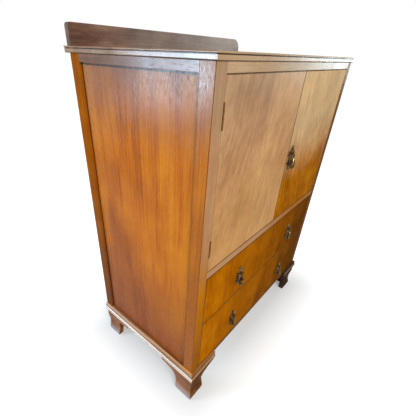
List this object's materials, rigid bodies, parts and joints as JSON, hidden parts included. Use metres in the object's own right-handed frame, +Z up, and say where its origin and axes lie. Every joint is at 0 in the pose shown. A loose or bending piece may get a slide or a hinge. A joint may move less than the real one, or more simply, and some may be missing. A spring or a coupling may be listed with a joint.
{
  "type": "chifforobe",
  "caption": "Polished mahogany chifforobe: cupboard with flush doors over long drawers, panelled sides, back gallery board, moulded base and ogee bracket feet, pierced plate handles with drops.",
  "frame": {"origin": "on the floor, midway across the width and midway through the overall depth", "axes": "+Z up, -Y out of the front with the doors and drawers, +X to the right seen from the front"},
  "size_m": [0.938, 0.559, 1.244],
  "materials": {
    "carcase_mahogany": "high gloss polish",
    "top_mahogany": "high gloss polish",
    "door_veneer": "gloss polish",
    "drawer_veneer": "gloss polish",
    "foot_mahogany": "gloss polish",
    "drawer_lining": "planed, waxed",
    "inner_boards": "planed",
    "handle_brass": "aged, darkened",
    "hinge_brass": "satin",
    "hinge_pin_steel": "satin"
  },
  "bodies": {
    "carcase": {"top_board": "top_mahogany", "gallery_board": "top_mahogany", "front_left_post": "carcase_mahogany", "front_right_post": "carcase_mahogany", "back_left_post": "carcase_mahogany", "back_right_post": "carcase_mahogany", "left_side_rails": "carcase_mahogany", "right_side_rails": "carcase_mahogany", "left_side_panel": "carcase_mahogany", "right_side_panel": "carcase_mahogany", "front_top_rail": "carcase_mahogany", "mid_rail": "carcase_mahogany", "bottom_rail": "carcase_mahogany", "left_side_moulding": "carcase_mahogany", "right_side_moulding": "carcase_mahogany", "left_front_moulding": "carcase_mahogany", "right_front_moulding": "carcase_mahogany", "front_left_foot": "foot_mahogany", "front_right_foot": "foot_mahogany", "back_left_foot": "foot_mahogany", "back_right_foot": "foot_mahogany", "drawer_rail": "inner_boards", "back_rails": "inner_boards", "back_panel": "inner_boards", "cupboard_floor": "inner_boards", "bottom_board": "inner_boards", "shelf": "inner_boards", "shelf_bearers": "inner_boards", "drawer_runners": "inner_boards", "drawer_guides": "inner_boards", "foot_blocks": "inner_boards", "hinge_frame_leaves": "hinge_brass", "door_strikes": "hinge_brass", "hinge_pins": "hinge_pin_steel"},
    "left_door": {"left_door_board": "door_veneer", "left_door_hinge_leaves": "hinge_brass", "left_door_bolt_plate": "hinge_brass"},
    "left_door_bolt": {"left_door_bolt": "hinge_brass"},
    "right_door": {"right_door_board": "door_veneer", "right_door_hinge_leaves": "hinge_brass", "right_door_catch": "hinge_brass", "right_door_handle_plate": "handle_brass"},
    "right_door_drop": {"right_door_drop": "handle_brass"},
    "upper_drawer": {"upper_drawer_front": "drawer_veneer", "upper_drawer_left_side": "drawer_lining", "upper_drawer_right_side": "drawer_lining", "upper_drawer_back": "drawer_lining", "upper_drawer_bottom": "drawer_lining", "upper_drawer_handle_plates": "handle_brass"},
    "upper_left_drop": {"upper_left_drop": "handle_brass"},
    "upper_right_drop": {"upper_right_drop": "handle_brass"},
    "lower_drawer": {"lower_drawer_front": "drawer_veneer", "lower_drawer_left_side": "drawer_lining", "lower_drawer_right_side": "drawer_lining", "lower_drawer_back": "drawer_lining", "lower_drawer_bottom": "drawer_lining", "lower_drawer_handle_plates": "handle_brass"},
    "lower_left_drop": {"lower_left_drop": "handle_brass"},
    "lower_right_drop": {"lower_right_drop": "handle_brass"}
  },
  "joints": [
    {"name": "left_door_hinge", "type": "hinge", "parent": "carcase", "child": "left_door", "pos_m": [-0.4194, -0.2577, 0.892], "axis": [0, 0, -1], "range_deg": [0, 110]},
    {"name": "left_door_bolt_slide", "type": "slide", "parent": "left_door", "child": "left_door_bolt", "axis": [0, 0, 1], "range_m": [0, 0.01]},
    {"name": "right_door_hinge", "type": "hinge", "parent": "carcase", "child": "right_door", "pos_m": [0.4194, -0.2577, 0.892], "axis": [0, 0, 1], "range_deg": [0, 110]},
    {"name": "right_door_drop_hinge", "type": "hinge", "parent": "right_door", "child": "right_door_drop", "pos_m": [0.028, -0.2705, 0.895], "axis": [-1, 0, 0], "range_deg": [-2, 110]},
    {"name": "upper_drawer_slide", "type": "slide", "parent": "carcase", "child": "upper_drawer", "axis": [0, -1, 0], "range_m": [0, 0.36]},
    {"name": "upper_left_drop_hinge", "type": "hinge", "parent": "upper_drawer", "child": "upper_left_drop", "pos_m": [-0.21, -0.2705, 0.504], "axis": [-1, 0, 0], "range_deg": [-2, 110]},
    {"name": "upper_right_drop_hinge", "type": "hinge", "parent": "upper_drawer", "child": "upper_right_drop", "pos_m": [0.21, -0.2705, 0.504], "axis": [-1, 0, 0], "range_deg": [-2, 110]},
    {"name": "lower_drawer_slide", "type": "slide", "parent": "carcase", "child": "lower_drawer", "axis": [0, -1, 0], "range_m": [0, 0.36]},
    {"name": "lower_left_drop_hinge", "type": "hinge", "parent": "lower_drawer", "child": "lower_left_drop", "pos_m": [-0.21, -0.2705, 0.28], "axis": [-1, 0, 0], "range_deg": [-2, 110]},
    {"name": "lower_right_drop_hinge", "type": "hinge", "parent": "lower_drawer", "child": "lower_right_drop", "pos_m": [0.21, -0.2705, 0.28], "axis": [-1, 0, 0], "range_deg": [-2, 110]}
  ]
}
